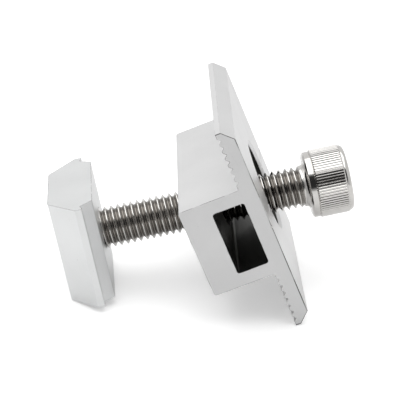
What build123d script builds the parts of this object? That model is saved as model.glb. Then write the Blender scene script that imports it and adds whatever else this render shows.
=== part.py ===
"""Solar mid clamp: a serrated hollow clamp body, an M8 socket head bolt and a rail nut.

Millimetres, +Z up.  The clamp lies on the ground as it comes to rest: the rail nut
stands on the lower edge of its foot, the plate on its lower serrated edge, and the
bolt rises between them towards +X with its head in the air.  The origin is on the
ground, under the middle of the whole.
"""
import os
from math import atan2, cos, pi, radians, sin

from build123d import *

os.makedirs("parts", exist_ok=True)

# --- bolt: M8 x 45 cap screw, threaded to the head ------------------------------------
thread_major = 8.0          # nominal thread diameter
thread_pitch = 1.25         # M8 coarse
bolt_length = 45.0          # under the head
neck_length = 1.3           # plain neck between the head and the first thread
head_diameter = 13.0        # over the knurl
head_height = 8.0
head_band = 1.4             # plain turned band under the knurl
knurl_depth = 0.2           # depth of the straight knurl
knurl_count = 80            # ridges round the head
head_rim = 0.9              # plain crowned rim above the knurl
socket_across_flats = 6.0
socket_depth = 4.0
end_chamfer = 0.9

# --- fits -------------------------------------------------------------------------------
thread_clearance = 0.05     # radial play of the thread in the nut
body_hole_play = 1.1        # radial play of the bolt in the body's foot, lets it hang askew

# --- clamp body: one aluminium extrusion, cut off and drilled -----------------------------
body_length = 40.0          # length cut from the extrusion
plate_width = 40.0          # across both wings
plate_thickness = 3.0
edge_upright = 1.0          # square part of the long edge, under its bevel
box_width = 17.6            # spacing it leaves between two panels
hollow_width = 12.5
hollow_height = 6.0
foot_thickness = 5.5        # solid wall that the bolt passes through
corner_radius = 0.5
web_radius = 0.3            # where wing meets box
tooth_pitch = 1.4
tooth_depth = 0.55
centre_line_width = 0.6     # drill-guide groove along the top
centre_line_depth = 0.3
head_hole_diameter = 17.0   # lets the bolt head and its key through the plate
head_hole_chamfer = 0.5

# --- rail nut: one short extrusion, cut off, drilled and tapped ---------------------------
nut_length = 20.0           # along the rail
nut_foot_width = 14.6       # narrow face, into the rail
nut_width = 25.6            # across the shoulders
nut_flank_height = 5.1      # height of the slanted flanks
nut_shoulder = 1.5          # upright side above the flanks
nut_height = 8.35
tongue_width = 19.2         # raised tongue that fills the rail's slot
notch_width = 22.5          # across the bottoms of the two notches
notch_depth = 0.5           # below the top of the shoulder
nut_foot_radius = 0.9
nut_edge_radius = 0.3

# --- how the loose pieces hang together -----------------------------------------------------
foot_to_nut = 28.7          # along the bolt, middle of the body's foot to the nut's foot
foot_to_head = 19.3         # along the bolt, middle of the body's foot to under the head
body_tilt = 11.0            # degrees, plate normal above the bolt axis
body_yaw = -3.0             # degrees, body turned on the bolt about the vertical

# --- derived ---------------------------------------------------------------------------------
bolt_radius = thread_major / 2 - thread_clearance
nut_bore = thread_major
body_hole = thread_major + 2 * body_hole_play
half_plate = plate_width / 2
half_box = box_width / 2
tooth_count = round((half_plate - half_box) / tooth_pitch) - 1    # grooves that fit under a wing
edge_bevel = plate_thickness - edge_upright
foot_middle = -foot_thickness / 2                  # the body's origin is mid-foot
foot_top = foot_thickness / 2
plate_under = foot_top + hollow_height
plate_top = plate_under + plate_thickness


def solve_rise():
    """Bolt rise at which the nut's foot edge and the plate's edge stand on one plane."""
    t = radians(body_tilt)
    across = foot_to_nut + plate_under * cos(t) + half_plate * sin(t)
    along = plate_under * sin(t) - half_plate * cos(t) + nut_length / 2
    return atan2(-along, across)


rise = solve_rise()
pitch = rise + radians(body_tilt)


def along_bolt(s):
    """Point on the bolt axis, s millimetres from the middle of the body's foot."""
    return Vector(s * cos(rise), 0, s * sin(rise))


bolt_axis = Vector(cos(rise), 0, sin(rise))
yaw = radians(body_yaw)
body_normal = Vector(cos(pitch) * cos(yaw), cos(pitch) * sin(yaw), sin(pitch))
body_across = Vector(sin(pitch) * cos(yaw), sin(pitch) * sin(yaw), -cos(pitch))
ground = along_bolt(-foot_to_nut).Z - nut_length / 2 * cos(rise)


def wing_teeth(side):
    """V grooves under one wing, listed from the box wall outwards."""
    half = tooth_depth * 0.95
    points = []
    for i in range(tooth_count):
        middle = half_box + tooth_pitch * (i + 1)
        points.append((side * (middle - half), plate_under))
        points.append((side * middle, plate_under + tooth_depth))
        points.append((side * (middle + half), plate_under))
    return points


def body_outline():
    """Closed outline of the extrusion, from the foot's corner up one wing and back."""
    right = [(half_box, -foot_top), (half_box, plate_under)]
    right += wing_teeth(1)
    right += [(half_plate, plate_under), (half_plate, plate_under + edge_upright)]
    right += [(half_plate - edge_bevel, plate_top), (centre_line_width / 2, plate_top)]
    left = [(-x, z) for x, z in reversed(right)]
    return right + [(0, plate_top - centre_line_depth)] + left


def make_body():
    """Extrude the serrated section, open the hollow, drill for the head and the thread."""
    with BuildPart() as body:
        with BuildSketch(Plane.XZ):
            with BuildLine():
                Polyline(*body_outline(), close=True)
            make_face()
            with Locations((0, foot_top + hollow_height / 2)):
                RectangleRounded(hollow_width, hollow_height, corner_radius, mode=Mode.SUBTRACT)
        extrude(amount=body_length / 2, both=True)
        upright = body.edges().filter_by(Axis.Y)
        foot_corners = [e for e in upright if abs(e.center().Z + foot_top) < 0.01]
        fillet(foot_corners, corner_radius)
        upright = body.edges().filter_by(Axis.Y)
        webs = [e for e in upright if abs(abs(e.center().X) - half_box) < 0.01]
        webs = [e for e in webs if abs(e.center().Z - plate_under) < 0.01]
        fillet(webs, web_radius)
        with Locations((0, 0, plate_under)):
            Cylinder(head_hole_diameter / 2, plate_thickness + 1,
                     align=(Align.CENTER, Align.CENTER, Align.MIN), mode=Mode.SUBTRACT)
        with Locations((0, 0, plate_top)):
            Cone(head_hole_diameter / 2, head_hole_diameter / 2 + 2 * head_hole_chamfer,
                 2 * head_hole_chamfer, mode=Mode.SUBTRACT)
        Cylinder(body_hole / 2, foot_thickness + 1, mode=Mode.SUBTRACT)
    return body.part


def make_nut():
    """Extrude the shouldered rail nut and bore it for the thread; its foot is at z = 0."""
    half_foot = nut_foot_width / 2
    half_nut = nut_width / 2
    shoulder_top = nut_flank_height + nut_shoulder
    right = [(half_foot, 0), (half_nut, nut_flank_height), (half_nut, shoulder_top)]
    right += [(notch_width / 2, shoulder_top - notch_depth), (tongue_width / 2, nut_height)]
    left = [(-x, z) for x, z in reversed(right)]
    with BuildPart() as nut:
        with BuildSketch(Plane.XZ):
            with BuildLine():
                Polyline(*(right + left), close=True)
            make_face()
        extrude(amount=nut_length / 2, both=True)
        long_edges = nut.edges().filter_by(Axis.Y)
        foot = [e for e in long_edges if e.center().Z < 0.01]
        fillet(foot, nut_foot_radius)
        long_edges = nut.edges().filter_by(Axis.Y)
        crests = [e for e in long_edges if abs(e.center().X) > half_nut - 0.01]
        fillet(crests, nut_edge_radius)
        long_edges = nut.edges().filter_by(Axis.Y)
        crests = [e for e in long_edges if e.center().Z > nut_height - 0.01]
        fillet(crests, nut_edge_radius)
        Cylinder(nut_bore / 2, 3 * nut_height, mode=Mode.SUBTRACT)
    return nut.part


def knurl_points():
    """Crests and roots of the straight knurl, turn and turn about round the head."""
    points = []
    for i in range(2 * knurl_count):
        radius = head_diameter / 2 - (i % 2) * knurl_depth
        angle = pi * i / knurl_count
        points.append((radius * cos(angle), radius * sin(angle)))
    return points


def make_bolt():
    """Turn the shank and head, knurl the head and punch its hexagon; z = 0 is under it."""
    band_radius = head_diameter / 2 - knurl_depth
    rim_radius = band_radius - head_rim
    rim_start = head_height - head_rim
    rim_middle = (rim_radius + head_rim * cos(pi / 4), rim_start + head_rim * sin(pi / 4))
    with BuildPart() as bolt:
        with BuildSketch(Plane.XZ):
            with BuildLine():
                Polyline((0, -bolt_length), (bolt_radius - end_chamfer, -bolt_length),
                         (bolt_radius, -bolt_length + end_chamfer), (bolt_radius, 0),
                         (band_radius - 0.3, 0), (band_radius, 0.3), (band_radius, rim_start))
                ThreePointArc((band_radius, rim_start), rim_middle, (rim_radius, head_height))
                Polyline((rim_radius, head_height), (0, head_height), (0, -bolt_length))
            make_face()
        revolve(axis=Axis.Z)
        with BuildSketch(Plane.XY.offset(head_band)):
            with BuildLine():
                Polyline(*knurl_points(), close=True)
            make_face()
        extrude(amount=rim_start - head_band)
        with BuildSketch(Plane.XY.offset(head_height)):
            RegularPolygon(socket_across_flats / 2, 6, major_radius=False)
        extrude(amount=-socket_depth, mode=Mode.SUBTRACT)
    return bolt.part


body_place = Plane(along_bolt(0), x_dir=body_across, z_dir=body_normal)
nut_place = Plane(along_bolt(-foot_to_nut), x_dir=Vector(0, 1, 0), z_dir=bolt_axis)
bolt_place = Plane(along_bolt(foot_to_head), x_dir=Vector(0, 1, 0), z_dir=bolt_axis)

pieces = {
    "clamp_body": make_body().moved(body_place.location),
    "rail_nut": make_nut().moved(nut_place.location),
    "bolt": make_bolt().moved(bolt_place.location),
}
whole = Compound(children=[p.moved(Location()) for p in pieces.values()]).bounding_box()
shift = Location((-whole.center().X, -whole.center().Y, -ground))

for name, piece in pieces.items():
    placed = piece.moved(shift)
    placed.label = name
    export_step(placed, os.path.join("parts", name + ".step"))
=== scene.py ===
import bmesh
import bpy
import numpy as np
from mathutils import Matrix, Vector


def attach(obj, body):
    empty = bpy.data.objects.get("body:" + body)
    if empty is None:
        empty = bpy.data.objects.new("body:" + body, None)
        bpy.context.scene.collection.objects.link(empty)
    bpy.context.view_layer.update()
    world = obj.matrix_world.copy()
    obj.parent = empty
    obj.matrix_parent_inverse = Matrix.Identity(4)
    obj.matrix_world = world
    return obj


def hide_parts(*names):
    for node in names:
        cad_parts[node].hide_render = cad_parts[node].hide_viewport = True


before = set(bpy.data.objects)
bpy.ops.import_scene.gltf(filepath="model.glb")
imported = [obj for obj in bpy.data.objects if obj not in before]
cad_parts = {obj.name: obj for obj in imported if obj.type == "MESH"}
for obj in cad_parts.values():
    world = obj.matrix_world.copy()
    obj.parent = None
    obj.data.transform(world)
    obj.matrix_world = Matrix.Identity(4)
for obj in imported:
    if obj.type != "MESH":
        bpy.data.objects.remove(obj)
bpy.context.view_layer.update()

# --- Where the clamp is seen from -----------------------------------------------------
# A long lens at table height, looking down on the clamp from the open end of its
# hollow, with the rail nut on the left and the bolt's head on the right.
CAMERA_PLACE = (-0.02052, -0.26045, 0.12714)
CAMERA_VIEW = (0.07121, 0.91831, -0.38940)
SENSOR_MM = 36.0
LENS_MM = 134.6
NEAREST = 0.01

camera = bpy.data.objects.new("camera", bpy.data.cameras.new("camera"))
bpy.context.collection.objects.link(camera)
camera.location = CAMERA_PLACE
camera.rotation_euler = Vector(CAMERA_VIEW).to_track_quat("-Z", "Y").to_euler()
camera.data.sensor_width = SENSOR_MM
camera.data.lens = LENS_MM
camera.data.clip_start = NEAREST
bpy.context.scene.camera = camera
bpy.context.scene.view_settings.view_transform = "Standard"


# --- The white table ------------------------------------------------------------------
# A sheet of matt white board under the clamp.  It takes the soft shadows, and is seen
# a little over white so that the board has no edge.
def linear(hex_colour):
    """Linear RGBA of an sRGB hex colour, by the standard's two-part curve."""
    parts = np.array([int(hex_colour[i:i + 2], 16) for i in (1, 3, 5)]) / 255.0
    curve = np.where(parts <= 0.04045, parts / 12.92, ((parts + 0.055) / 1.055) ** 2.4)
    return (*(float(c) for c in curve), 1.0)


def add(tree, kind, links=None, **settings):
    """Add one node; settings set its own properties, links fill inputs by name or place."""
    node = tree.nodes.new(kind)
    for key, value in settings.items():
        setattr(node, key, value)
    for key, value in (links or {}).items():
        if isinstance(value, bpy.types.NodeSocket):
            tree.links.new(value, node.inputs[key])
        else:
            node.inputs[key].default_value = value
    return node


def new_material(name):
    """Empty node material, its tree and its output node."""
    material = bpy.data.materials.new(name)
    material.use_nodes = True
    tree = material.node_tree
    tree.nodes.clear()
    return material, tree, tree.nodes.new("ShaderNodeOutputMaterial")


def mesh_object(name, points, faces):
    """Object at the origin from an array of points and a list of faces."""
    mesh = bpy.data.meshes.new(name)
    mesh.from_pydata(points.tolist(), [], faces)
    mesh.update()
    piece = bpy.data.objects.new(name, mesh)
    bpy.context.collection.objects.link(piece)
    return piece


BOARD_HALF = 2.5
BOARD_WHITE = "#EFEFEF"
BOARD_LIFT = 0.35
PURE_WHITE = (1, 1, 1, 1)

corners = np.array([(-1, -1, 0), (1, -1, 0), (1, 1, 0), (-1, 1, 0)]) * BOARD_HALF
board = mesh_object("white_board", corners, [(0, 1, 2, 3)])
board_matt, tree, out = new_material("matt_white_board")
path = add(tree, "ShaderNodeLightPath")
matt = add(tree, "ShaderNodeBsdfDiffuse", {"Color": linear(BOARD_WHITE)})
lift = add(tree, "ShaderNodeMath", {0: path.outputs["Is Camera Ray"], 1: BOARD_LIFT},
           operation="MULTIPLY")
glow = add(tree, "ShaderNodeEmission", {"Color": PURE_WHITE, "Strength": lift.outputs[0]})
both = add(tree, "ShaderNodeAddShader", {0: matt.outputs[0], 1: glow.outputs[0]})
tree.links.new(both.outputs[0], out.inputs["Surface"])
board.data.materials.append(board_matt)

# --- The light tent --------------------------------------------------------------------
# White cloth all round and above.  The viewer's opening in it is dark, and that is the
# dark band that bright round metal shows along its middle.
TENT_WALL = 0.86
TENT_LOW = 0.66
TENT_RIGHT = 0.90
FRONT_SPAN = (-0.9, -0.2)
HEIGHT_SPAN = (0.15, 0.6)
RIGHT_SPAN = (-0.1, 0.6)
VIEWER = Vector((-0.06, -0.86, 0.50)).normalized()
VIEWER_DARK = 0.03
OPENING_SPAN = (0.84, 0.95)

world = bpy.data.worlds.new("light_tent")
bpy.context.scene.world = world
world.use_nodes = True
tree = world.node_tree
tree.nodes.clear()
out = add(tree, "ShaderNodeOutputWorld")
place = add(tree, "ShaderNodeTexCoord").outputs["Generated"]
axes = add(tree, "ShaderNodeSeparateXYZ", {0: place})
front = add(tree, "ShaderNodeMapRange",
            {"Value": axes.outputs["Y"], "From Min": FRONT_SPAN[0], "From Max": FRONT_SPAN[1],
             "To Min": TENT_LOW, "To Max": TENT_WALL}, interpolation_type="SMOOTHSTEP")
height = add(tree, "ShaderNodeMapRange",
             {"Value": axes.outputs["Z"], "From Min": HEIGHT_SPAN[0], "From Max": HEIGHT_SPAN[1]},
             interpolation_type="SMOOTHSTEP")
wall = add(tree, "ShaderNodeMix", {0: height.outputs[0], 2: front.outputs[0], 3: TENT_WALL},
           data_type="FLOAT")
right = add(tree, "ShaderNodeMapRange",
            {"Value": axes.outputs["X"], "From Min": RIGHT_SPAN[0], "From Max": RIGHT_SPAN[1],
             "To Min": 1.0, "To Max": TENT_RIGHT})
wall = add(tree, "ShaderNodeMath", {0: wall.outputs[0], 1: right.outputs[0]},
           operation="MULTIPLY")
towards = add(tree, "ShaderNodeVectorMath", {0: place, 1: tuple(VIEWER)},
              operation="DOT_PRODUCT")
opening = add(tree, "ShaderNodeMapRange",
              {"Value": towards.outputs["Value"], "From Min": OPENING_SPAN[0],
               "From Max": OPENING_SPAN[1]}, interpolation_type="SMOOTHSTEP")
level = add(tree, "ShaderNodeMix", {0: opening.outputs[0], 2: wall.outputs[0], 3: VIEWER_DARK},
            data_type="FLOAT")
path = add(tree, "ShaderNodeLightPath")
seen = add(tree, "ShaderNodeMix",
           {0: path.outputs["Is Camera Ray"], 2: level.outputs[0], 3: 1.0}, data_type="FLOAT")
cloth = add(tree, "ShaderNodeBackground", {"Color": PURE_WHITE, "Strength": seen.outputs[0]})
tree.links.new(cloth.outputs[0], out.inputs["Surface"])

SOFTBOX_PLACE = (-0.10, 0.04, 0.90)
SOFTBOX_SIZE = 1.1
SOFTBOX_WATTS = 4.6
softbox = bpy.data.objects.new("softbox", bpy.data.lights.new("softbox", "AREA"))
bpy.context.collection.objects.link(softbox)
softbox.location = SOFTBOX_PLACE
softbox.rotation_euler = (-Vector(SOFTBOX_PLACE)).to_track_quat("-Z", "Y").to_euler()
softbox.data.size = SOFTBOX_SIZE
softbox.data.energy = SOFTBOX_WATTS

# --- Clamp body ------------------------------------------------------------------------
# One length of aluminium extrusion, sawn off, drilled, blasted and anodised silver.
# Its long faces carry faint die lines along the length; its sawn ends are duller.
BODY_NORMAL = Vector((0.926151, -0.048538, 0.374017))
BODY_ACROSS = Vector((0.373504, -0.019575, -0.927422))
BODY_ALONG = BODY_NORMAL.cross(BODY_ACROSS)
BODY_TONES = ("#E6E6E6", "#DCDCDC")
BODY_ROUGHNESS = (0.34, 0.46)
BODY_CHIP_AND_SHADE_FROM = 0.43

# Die lines run almost unbroken along the length, so their noise is stretched there.  The
# blast's grain is finer in truth, and is drawn as coarse as it needs to show.
DIE_LINE_MM = 0.35
LINE_STRETCH = 0.012
LINE_ROUGHNESS = 0.10
BLAST_GRAIN_MM = 0.12
GRAIN_SHARE = 0.5
RELIEF = 0.00002
RELIEF_STRENGTH = 0.5
NICK_MM = 0.9
NICK_SPAN = (0.68, 0.73)
NICK_TONE = 0.72
MOTTLE_MM = 11.11
MOTTLE_SPAN = (0.3, 0.7)
MOTTLE_TONES = (0.955, 1.02)
SAWN_SPAN = (0.90, 0.97)
# Edges darken to a dark grey: partly real chips, partly painted shade and reflection, the dark
# line a small edge rounding shows.
EDGE_MM = 0.18
EDGE_SPAN = (0.995, 0.93)
EDGE_SAMPLES = 6
EDGE_CHIP_AND_SHADE_GREY = "#4C4C4A"
LONG_EDGE_SHARE = 0.3
CHIP_AND_SHADE_MM = 2.381
CHIP_AND_SHADE_SOFTNESS = 0.1
CHIP_AND_SHADE_COVER = 0.9


def anodised(name, along, tones, roughness, chip_and_shade_from):
    """Anodised extrusion, with its tones and roughness as (long faces, sawn ends).  An end
    is where the normal's share along the length nears one.  A dark edge line, partly chips and
    partly painted shade and reflection, is noise over a threshold, where the normal and its mean
    over the edge's radius part."""
    material, tree, out = new_material(name)
    coordinates = add(tree, "ShaderNodeTexCoord")
    place = coordinates.outputs["Object"]
    facing = add(tree, "ShaderNodeVectorMath",
                 {0: coordinates.outputs["Normal"], 1: tuple(along)}, operation="DOT_PRODUCT")
    flat = add(tree, "ShaderNodeMath", {0: facing.outputs["Value"]}, operation="ABSOLUTE")
    sawn = add(tree, "ShaderNodeMapRange",
               {"Value": flat.outputs[0], "From Min": SAWN_SPAN[0],
                "From Max": SAWN_SPAN[1]}).outputs[0]

    to_y = along.rotation_difference(Vector((0, 1, 0))).to_euler()
    turned = add(tree, "ShaderNodeMapping", {"Vector": place, "Rotation": to_y})
    lines_at = add(tree, "ShaderNodeVectorMath",
                   {0: turned.outputs[0], 1: (1.0, LINE_STRETCH, 1.0)}, operation="MULTIPLY")
    lines = add(tree, "ShaderNodeTexNoise",
                {"Vector": lines_at.outputs[0], "Scale": 1000 / DIE_LINE_MM, "Detail": 3.0})
    grain = add(tree, "ShaderNodeTexNoise",
                {"Vector": place, "Scale": 1000 / BLAST_GRAIN_MM, "Detail": 2.0})
    mottle = add(tree, "ShaderNodeTexNoise",
                 {"Vector": place, "Scale": 1000 / MOTTLE_MM, "Detail": 4.0}).outputs["Fac"]
    nicks = add(tree, "ShaderNodeTexNoise",
                {"Vector": place, "Scale": 1000 / NICK_MM, "Detail": 5.0, "Roughness": 0.7})
    chip_and_shade_noise = add(tree, "ShaderNodeTexNoise",
                {"Vector": place, "Scale": 1000 / CHIP_AND_SHADE_MM, "Detail": 3.0})

    shape = add(tree, "ShaderNodeNewGeometry")
    softened = add(tree, "ShaderNodeBevel", {"Radius": EDGE_MM / 1000}, samples=EDGE_SAMPLES)
    parted = add(tree, "ShaderNodeVectorMath",
                 {0: shape.outputs["Normal"], 1: softened.outputs[0]}, operation="DOT_PRODUCT")
    edge = add(tree, "ShaderNodeMapRange",
               {"Value": parted.outputs["Value"], "From Min": EDGE_SPAN[0],
                "From Max": EDGE_SPAN[1]})
    chip_and_shade_spots = add(tree, "ShaderNodeMapRange",
                  {"Value": chip_and_shade_noise.outputs["Fac"], "From Min": chip_and_shade_from,
                   "From Max": chip_and_shade_from + CHIP_AND_SHADE_SOFTNESS, "To Max": CHIP_AND_SHADE_COVER})
    worst = add(tree, "ShaderNodeMapRange", {"Value": sawn, "To Min": LONG_EDGE_SHARE})
    chip_and_shade = edge
    for share in (chip_and_shade_spots, worst):
        chip_and_shade = add(tree, "ShaderNodeMath", {0: chip_and_shade.outputs[0], 1: share.outputs[0]},
                   operation="MULTIPLY")

    tone = add(tree, "ShaderNodeMix", {0: sawn, 6: linear(tones[0]), 7: linear(tones[1])},
               data_type="RGBA").outputs[2]
    drift = add(tree, "ShaderNodeMapRange",
                {"Value": mottle, "From Min": MOTTLE_SPAN[0], "From Max": MOTTLE_SPAN[1],
                 "To Min": MOTTLE_TONES[0], "To Max": MOTTLE_TONES[1]})
    nicked = add(tree, "ShaderNodeMapRange",
                 {"Value": nicks.outputs["Fac"], "From Min": NICK_SPAN[0],
                  "From Max": NICK_SPAN[1], "To Min": 1.0, "To Max": NICK_TONE})
    for share in (drift, nicked):
        tone = add(tree, "ShaderNodeVectorMath", {0: tone, 1: share.outputs[0]},
                   operation="MULTIPLY").outputs[0]
    tone = add(tree, "ShaderNodeMix", {0: chip_and_shade.outputs[0], 6: tone, 7: linear(EDGE_CHIP_AND_SHADE_GREY)},
               data_type="RGBA").outputs[2]
    rough = add(tree, "ShaderNodeMapRange",
                {"Value": sawn, "To Min": roughness[0], "To Max": roughness[1]})
    worn = add(tree, "ShaderNodeMath",
               {0: lines.outputs["Fac"], 1: LINE_ROUGHNESS, 2: rough.outputs[0]},
               operation="MULTIPLY_ADD")
    line_share = add(tree, "ShaderNodeMapRange", {"Value": sawn, "To Min": 1.0, "To Max": 0.0})
    line_height = add(tree, "ShaderNodeMath",
                      {0: lines.outputs["Fac"], 1: line_share.outputs[0]},
                      operation="MULTIPLY")
    relief = add(tree, "ShaderNodeMath",
                 {0: grain.outputs["Fac"], 1: GRAIN_SHARE, 2: line_height.outputs[0]},
                 operation="MULTIPLY_ADD")
    bump = add(tree, "ShaderNodeBump", {"Height": relief.outputs[0], "Distance": RELIEF,
                                        "Strength": RELIEF_STRENGTH})
    metal = add(tree, "ShaderNodeBsdfPrincipled",
                {"Base Color": tone, "Roughness": worn.outputs[0],
                 "Normal": bump.outputs[0], "Metallic": 1.0})
    tree.links.new(metal.outputs[0], out.inputs["Surface"])
    return material, (tree, place, sawn, mottle, tone, metal)


def along_axis(tree, place, axis, start):
    """Distance from start along axis, in millimetres: the object point's dot product."""
    dot = add(tree, "ShaderNodeVectorMath", {0: place, 1: tuple(axis)},
              operation="DOT_PRODUCT")
    return add(tree, "ShaderNodeMath",
               {0: dot.outputs["Value"], 1: 1000.0, 2: -1000.0 * start.dot(axis)},
               operation="MULTIPLY_ADD").outputs[0]


body_finish, parts = anodised("anodised_clamp_extrusion", BODY_ALONG, BODY_TONES,
                              BODY_ROUGHNESS, BODY_CHIP_AND_SHADE_FROM)

# The walls of the hollow and of the bolt's hole are painted dark grey: painted shade, for the
# little light that reaches into them.
# Heights are over BODY_MIDDLE, which is the middle of the hole in the foot.
BODY_MIDDLE = Vector((0.00111644, 0.000312406, 0.0152758))
HOLLOW_HALF_MM = 6.35
HOLLOW_FROM_MM, HOLLOW_TO_MM = 2.65, 8.85
PLATE_TOP_MM = 11.75
BORE_HALF_MM = 8.56
BORE_FROM_MM, BORE_TO_MM = 0.1, PLATE_TOP_MM - 0.6
HOLLOW_SHADE_GREY = "#5A5A58"

tree, place, sawn, mottle, tone, metal = parts
over = along_axis(tree, place, BODY_NORMAL, BODY_MIDDLE)
side = along_axis(tree, place, BODY_ACROSS, BODY_MIDDLE)
side = add(tree, "ShaderNodeMath", {0: side}, operation="ABSOLUTE").outputs[0]
length = along_axis(tree, place, BODY_ALONG, BODY_MIDDLE)
from_bore = add(tree, "ShaderNodeCombineXYZ", {0: side, 1: length})
reach = add(tree, "ShaderNodeVectorMath", {0: from_bore.outputs[0]},
            operation="LENGTH").outputs["Value"]
zones = []
for terms in ([("LESS_THAN", side, HOLLOW_HALF_MM), ("GREATER_THAN", over, HOLLOW_FROM_MM),
               ("LESS_THAN", over, HOLLOW_TO_MM), ("SUBTRACT", 1.0, sawn)],
              [("LESS_THAN", reach, BORE_HALF_MM), ("LESS_THAN", over, BORE_TO_MM),
               ("GREATER_THAN", over, BORE_FROM_MM)]):
    zone = 1.0
    for operation, one, other in terms:
        term = add(tree, "ShaderNodeMath", {0: one, 1: other}, operation=operation)
        zone = add(tree, "ShaderNodeMath", {0: zone, 1: term.outputs[0]},
                   operation="MULTIPLY").outputs[0]
    zones.append(zone)
inside = add(tree, "ShaderNodeMath", dict(enumerate(zones)), operation="MAXIMUM")

# A painted reflection: a thin dark line along the plate's outline, broken here and there, where
# the edge's small rounding mirrors dark surroundings.  The bevel is where the distances to the
# side and over the middle have one sum.
PLATE_HALF_MM = 20.0
BEVEL_SUM_MM = 29.75
EDGE_REFLECTION_MM = 0.16
EDGE_REFLECTION_SPAN = (EDGE_REFLECTION_MM * 1.4, EDGE_REFLECTION_MM * 0.7)
BROKEN_SPAN = (0.36, 0.5)
BROKEN_SHARE = 0.15
EDGE_REFLECTION_GREY = "#4E4E4C"

total = add(tree, "ShaderNodeMath", {0: side, 1: over}, operation="ADD").outputs[0]
nearest = None
for edge_mm, place_mm in ((PLATE_TOP_MM, over), (PLATE_HALF_MM, side), (BEVEL_SUM_MM, total)):
    away = add(tree, "ShaderNodeMath", {0: edge_mm, 1: place_mm}, operation="SUBTRACT")
    nearest = away if nearest is None else add(
        tree, "ShaderNodeMath", {0: nearest.outputs[0], 1: away.outputs[0]},
        operation="MINIMUM")
edge_reflection = add(tree, "ShaderNodeMapRange",
           {"Value": nearest.outputs[0], "From Min": EDGE_REFLECTION_SPAN[0], "From Max": EDGE_REFLECTION_SPAN[1]})
broken = add(tree, "ShaderNodeMapRange",
             {"Value": mottle, "From Min": BROKEN_SPAN[0], "From Max": BROKEN_SPAN[1],
              "To Min": BROKEN_SHARE, "To Max": 1.0})
for share in (broken.outputs[0], sawn):
    edge_reflection = add(tree, "ShaderNodeMath", {0: edge_reflection.outputs[0], 1: share}, operation="MULTIPLY")
# Painted shade: the hollow's and the bore's walls take a dark grey.
painted_shade = add(tree, "ShaderNodeMix", {0: inside.outputs[0], 6: tone, 7: linear(HOLLOW_SHADE_GREY)},
           data_type="RGBA")
# Painted reflection: the dark line along the plate's outline.
lined = add(tree, "ShaderNodeMix",
            {0: edge_reflection.outputs[0], 6: painted_shade.outputs[2], 7: linear(EDGE_REFLECTION_GREY)}, data_type="RGBA")
tree.links.new(lined.outputs[2], metal.inputs["Base Color"])
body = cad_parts["clamp_body"]
body.material_slots[0].material = body_finish

# --- Rail nut --------------------------------------------------------------------------
# A short length of a second extrusion, sawn off, drilled and tapped M8, anodised too.
# It is handled loose, so its edges are nicked; their dark line runs nearly unbroken, since it is
# also painted shade, as in the corner of its notch.
BOLT_AXIS = Vector((0.981748, 0.0, 0.190185))
NUT_ALONG = Vector((0.0, 1.0, 0.0)).cross(BOLT_AXIS) * -1.0
NUT_TONES = ("#ECEDED", "#DFE0E0")
NUT_ROUGHNESS = (0.36, 0.44)
NUT_CHIP_AND_SHADE_FROM = 0.35

nut_finish, _ = anodised("anodised_nut_extrusion", NUT_ALONG, NUT_TONES, NUT_ROUGHNESS,
                         NUT_CHIP_AND_SHADE_FROM)
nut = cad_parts["rail_nut"]
nut.material_slots[0].material = nut_finish

# --- Bolt --------------------------------------------------------------------------------
# M8 x 45 cap screw in stainless steel: cold-headed, its head knurled and its hexagon
# punched, and the thread rolled up to a short neck under the head.
UNDER_HEAD = Vector((0.0200642, 0.0003124, 0.0189464))
SHANK_LENGTH = 0.045
NECK = 0.0009
NECK_OVERLAP = 0.0002
UNDER_FLARE = 0.0004
THREAD_RADIUS = 0.00395
THREAD_PITCH = 0.00125
THREAD_DEPTH = 0.00074
TIP_CHAMFER = 0.0009
HEAD_RADIUS = 0.0065
HEAD_HEIGHT = 0.008
UNDER_EDGE = (0.0004, 0.0003)
HEAD_BAND = 0.0014
BAND_STEP = (0.00008, 0.0001)
KNURL_DEPTH = 0.0002
KNURL_RAMP = 0.00022
GROOVE_DEPTH = 0.00009
KNURL_COUNT = 80
HEAD_RIM = 0.0009
RIM_STEP = 0.00004
SOCKET_HALF = 0.003
SOCKET_DEPTH = 0.004
SOCKET_CHAMFER = 0.0003
PUNCH_CONE = 0.0009
PUNCH_POINT = 0.02
SHARP_EDGE = np.radians(38.0)
WELD = 1e-7
LARGEST_HOLE = 400


def place_on_bolt(points):
    """Turn points from along +Z to along the bolt, and move z = 0 to under the head."""
    along = np.array(BOLT_AXIS)
    side = np.array((0.0, 1.0, 0.0))
    third = np.cross(along, side)
    turned = points[:, [0]] * side + points[:, [1]] * third + points[:, [2]] * along
    return turned + np.array(UNDER_HEAD)


def thread_depth(phase):
    """Depth share over one pitch: flat crest, straight 60 degree flanks, round root."""
    from_crest = 0.5 - np.abs(phase % 1.0 - 0.5)
    return np.interp(from_crest, (0.05, 0.36, 0.42, 0.5), (0.0, 0.86, 0.97, 1.0))


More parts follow.
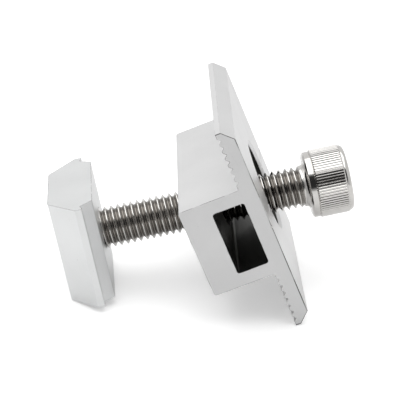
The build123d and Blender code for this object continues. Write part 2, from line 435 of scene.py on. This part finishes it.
def make_shank(turn_steps=72, phases=(0.05, 0.20, 0.36, 0.42, 0.50, 0.58, 0.64, 0.80, 0.95)):
    """Radius is the shank less the thread's depth at its phase, on rows that climb one
    pitch a turn, so that each row joins the row one pitch on where the turn closes."""
    count = len(phases)
    rows = int(np.ceil(SHANK_LENGTH / THREAD_PITCH) + 1) * count + 1
    row, turn = np.meshgrid(np.arange(rows), np.arange(turn_steps), indexing="ij")
    share = turn / turn_steps
    climb = row // count + np.array(phases)[row % count]
    z = -SHANK_LENGTH - THREAD_PITCH + (climb + share) * THREAD_PITCH
    inside = np.clip(z, -SHANK_LENGTH, -NECK)
    runout = np.clip((-NECK - inside) / (0.5 * THREAD_PITCH), 0.0, 1.0)
    cut = thread_depth(climb) * THREAD_DEPTH * runout
    tip = THREAD_RADIUS - TIP_CHAMFER + (inside + SHANK_LENGTH)
    radius = np.minimum(THREAD_RADIUS - cut, tip)
    angle = 2 * np.pi * share
    points = np.stack([radius * np.cos(angle), radius * np.sin(angle), inside], -1)
    a = (row * turn_steps + turn)[:-1 - count, :]
    closing = turn == turn_steps - 1
    right = np.where(closing, (row + count) * turn_steps, row * turn_steps + turn + 1)
    right = right[:-1 - count, :]
    quads = np.stack([a, right, right + turn_steps, a + turn_steps], -1).reshape(-1, 4)
    return points.reshape(-1, 3), quads, 1.0 - cut.reshape(-1) / THREAD_DEPTH


def ring_stack(profile, angle):
    """Carry (radius, z) rings round the axis; each radius may be an array over the turn."""
    return np.concatenate([np.stack([r * np.cos(angle), r * np.sin(angle), z + 0 * angle], -1)
                           for r, z in profile])


def make_head(phases=(0.0, 0.29, 0.40, 0.50, 0.60, 0.71), bend_steps=7):
    """Rings up the neck, which flares by the square of the way to the head, then round
    the band, up the knurl, over the rim and down the hexagon, whose radius is its half
    width over the cosine of the angle to its flat."""
    turn, phase = np.meshgrid(np.arange(KNURL_COUNT), phases, indexing="ij")
    angle = 2 * np.pi * ((turn + phase) / KNURL_COUNT).ravel()
    steps = len(angle)
    from_groove = np.abs(phase.ravel() - 0.5)
    smooth = HEAD_RADIUS - KNURL_DEPTH + 0 * angle
    groove = GROOVE_DEPTH * np.interp(from_groove, (0.0, 0.10, 0.21), (1.0, 0.66, 0.0))
    crest = HEAD_RADIUS - groove
    flat = (angle + np.pi / 6) % (np.pi / 3) - np.pi / 6
    hexagon = SOCKET_HALF / np.cos(flat)
    rim_z = HEAD_HEIGHT - HEAD_RIM
    floor_z = HEAD_HEIGHT - SOCKET_DEPTH
    profile = [(THREAD_RADIUS - THREAD_DEPTH / 2 + 0 * angle, -NECK - NECK_OVERLAP)]
    profile += [(THREAD_RADIUS + UNDER_FLARE * t ** 2 + 0 * angle, NECK * (t - 1.0))
                for t in np.linspace(0.0, 1.0, bend_steps)]
    profile += [(smooth - UNDER_EDGE[0], 0.0), (smooth, UNDER_EDGE[1]),
                (smooth, HEAD_BAND - BAND_STEP[1]), (smooth - BAND_STEP[0], HEAD_BAND),
                (crest, HEAD_BAND + KNURL_RAMP), (crest, rim_z - KNURL_RAMP),
                (smooth - RIM_STEP, rim_z)]
    profile += [(smooth - HEAD_RIM * (1 - np.cos(b)), rim_z + HEAD_RIM * np.sin(b))
                for b in np.linspace(0, np.pi / 2, bend_steps)[1:]]
    profile += [(hexagon + SOCKET_CHAMFER, HEAD_HEIGHT),
                (hexagon, HEAD_HEIGHT - SOCKET_CHAMFER), (hexagon, floor_z),
                (hexagon * PUNCH_POINT, floor_z - PUNCH_CONE)]
    ring, turn = np.meshgrid(np.arange(len(profile) - 1), np.arange(steps), indexing="ij")
    a = ring * steps + turn
    b = ring * steps + (turn + 1) % steps
    quads = np.stack([a, b, b + steps, a + steps], -1).reshape(-1, 4)
    return ring_stack(profile, angle), quads, steps, len(profile)


shank_points, shank_quads, shine = make_shank()
head_points, head_quads, head_steps, head_rings = make_head()
offset = len(shank_points)
all_points = place_on_bolt(np.concatenate([shank_points, head_points]))
last = offset + (head_rings - 1) * head_steps
faces = shank_quads.tolist() + (head_quads + offset).tolist()
faces.append([last + i for i in range(head_steps)])
faces.append([offset + head_steps - 1 - i for i in range(head_steps)])
bolt = mesh_object("m8_cap_screw", all_points, faces)
# Painted shade: one on the crests and the head, less down into the thread's roots.
light = np.concatenate([shine, np.ones(len(head_points))]).astype(np.float32)
open_to_light = bolt.data.attributes.new("open_to_light", "FLOAT", "POINT")
open_to_light.data.foreach_set("value", light)

work = bmesh.new()
work.from_mesh(bolt.data)
bmesh.ops.remove_doubles(work, verts=work.verts, dist=WELD)
open_edges = [e for e in work.edges if e.is_boundary]
bmesh.ops.holes_fill(work, edges=open_edges, sides=LARGEST_HOLE)
bmesh.ops.recalc_face_normals(work, faces=work.faces)
for face in work.faces:
    face.smooth = True
work.to_mesh(bolt.data)
work.free()
bolt.data.set_sharp_from_angle(angle=SHARP_EDGE)

# Stainless steel, rolled cold: bright crests, and roots painted darker by their depth, a painted
# shade for the light they catch less of.
STEEL = "#D6D4D1"
STEEL_ROOT_SHADE = "#827E79"
WEAR_MM = 1.4286
WEAR_SPAN = (0.3, 0.7)
WEAR_TONES = (0.93, 1.03)
WEAR_ROUGHNESS = (0.07, 0.16)
WEAR_RELIEF = 0.00001
WEAR_STRENGTH = 0.25

steel, tree, out = new_material("stainless_steel_rolled")
place = add(tree, "ShaderNodeTexCoord").outputs["Object"]
root = add(tree, "ShaderNodeAttribute", attribute_name="open_to_light")
wear = add(tree, "ShaderNodeTexNoise",
           {"Vector": place, "Scale": 1000 / WEAR_MM, "Detail": 4.0}).outputs["Fac"]
tone = add(tree, "ShaderNodeMix",
           {0: root.outputs["Fac"], 6: linear(STEEL_ROOT_SHADE), 7: linear(STEEL)}, data_type="RGBA")
drift = add(tree, "ShaderNodeMapRange",
            {"Value": wear, "From Min": WEAR_SPAN[0], "From Max": WEAR_SPAN[1],
             "To Min": WEAR_TONES[0], "To Max": WEAR_TONES[1]})
mottled = add(tree, "ShaderNodeVectorMath", {0: tone.outputs[2], 1: drift.outputs[0]},
              operation="MULTIPLY")
rough = add(tree, "ShaderNodeMapRange",
            {"Value": wear, "To Min": WEAR_ROUGHNESS[0], "To Max": WEAR_ROUGHNESS[1]})
bump = add(tree, "ShaderNodeBump",
           {"Height": wear, "Distance": WEAR_RELIEF, "Strength": WEAR_STRENGTH})
metal = add(tree, "ShaderNodeBsdfPrincipled",
            {"Base Color": mottled.outputs[0], "Roughness": rough.outputs[0],
             "Normal": bump.outputs[0], "Metallic": 1.0})
tree.links.new(metal.outputs[0], out.inputs["Surface"])
bolt.data.materials.append(steel)
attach(bolt, "bolt")
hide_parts("bolt")
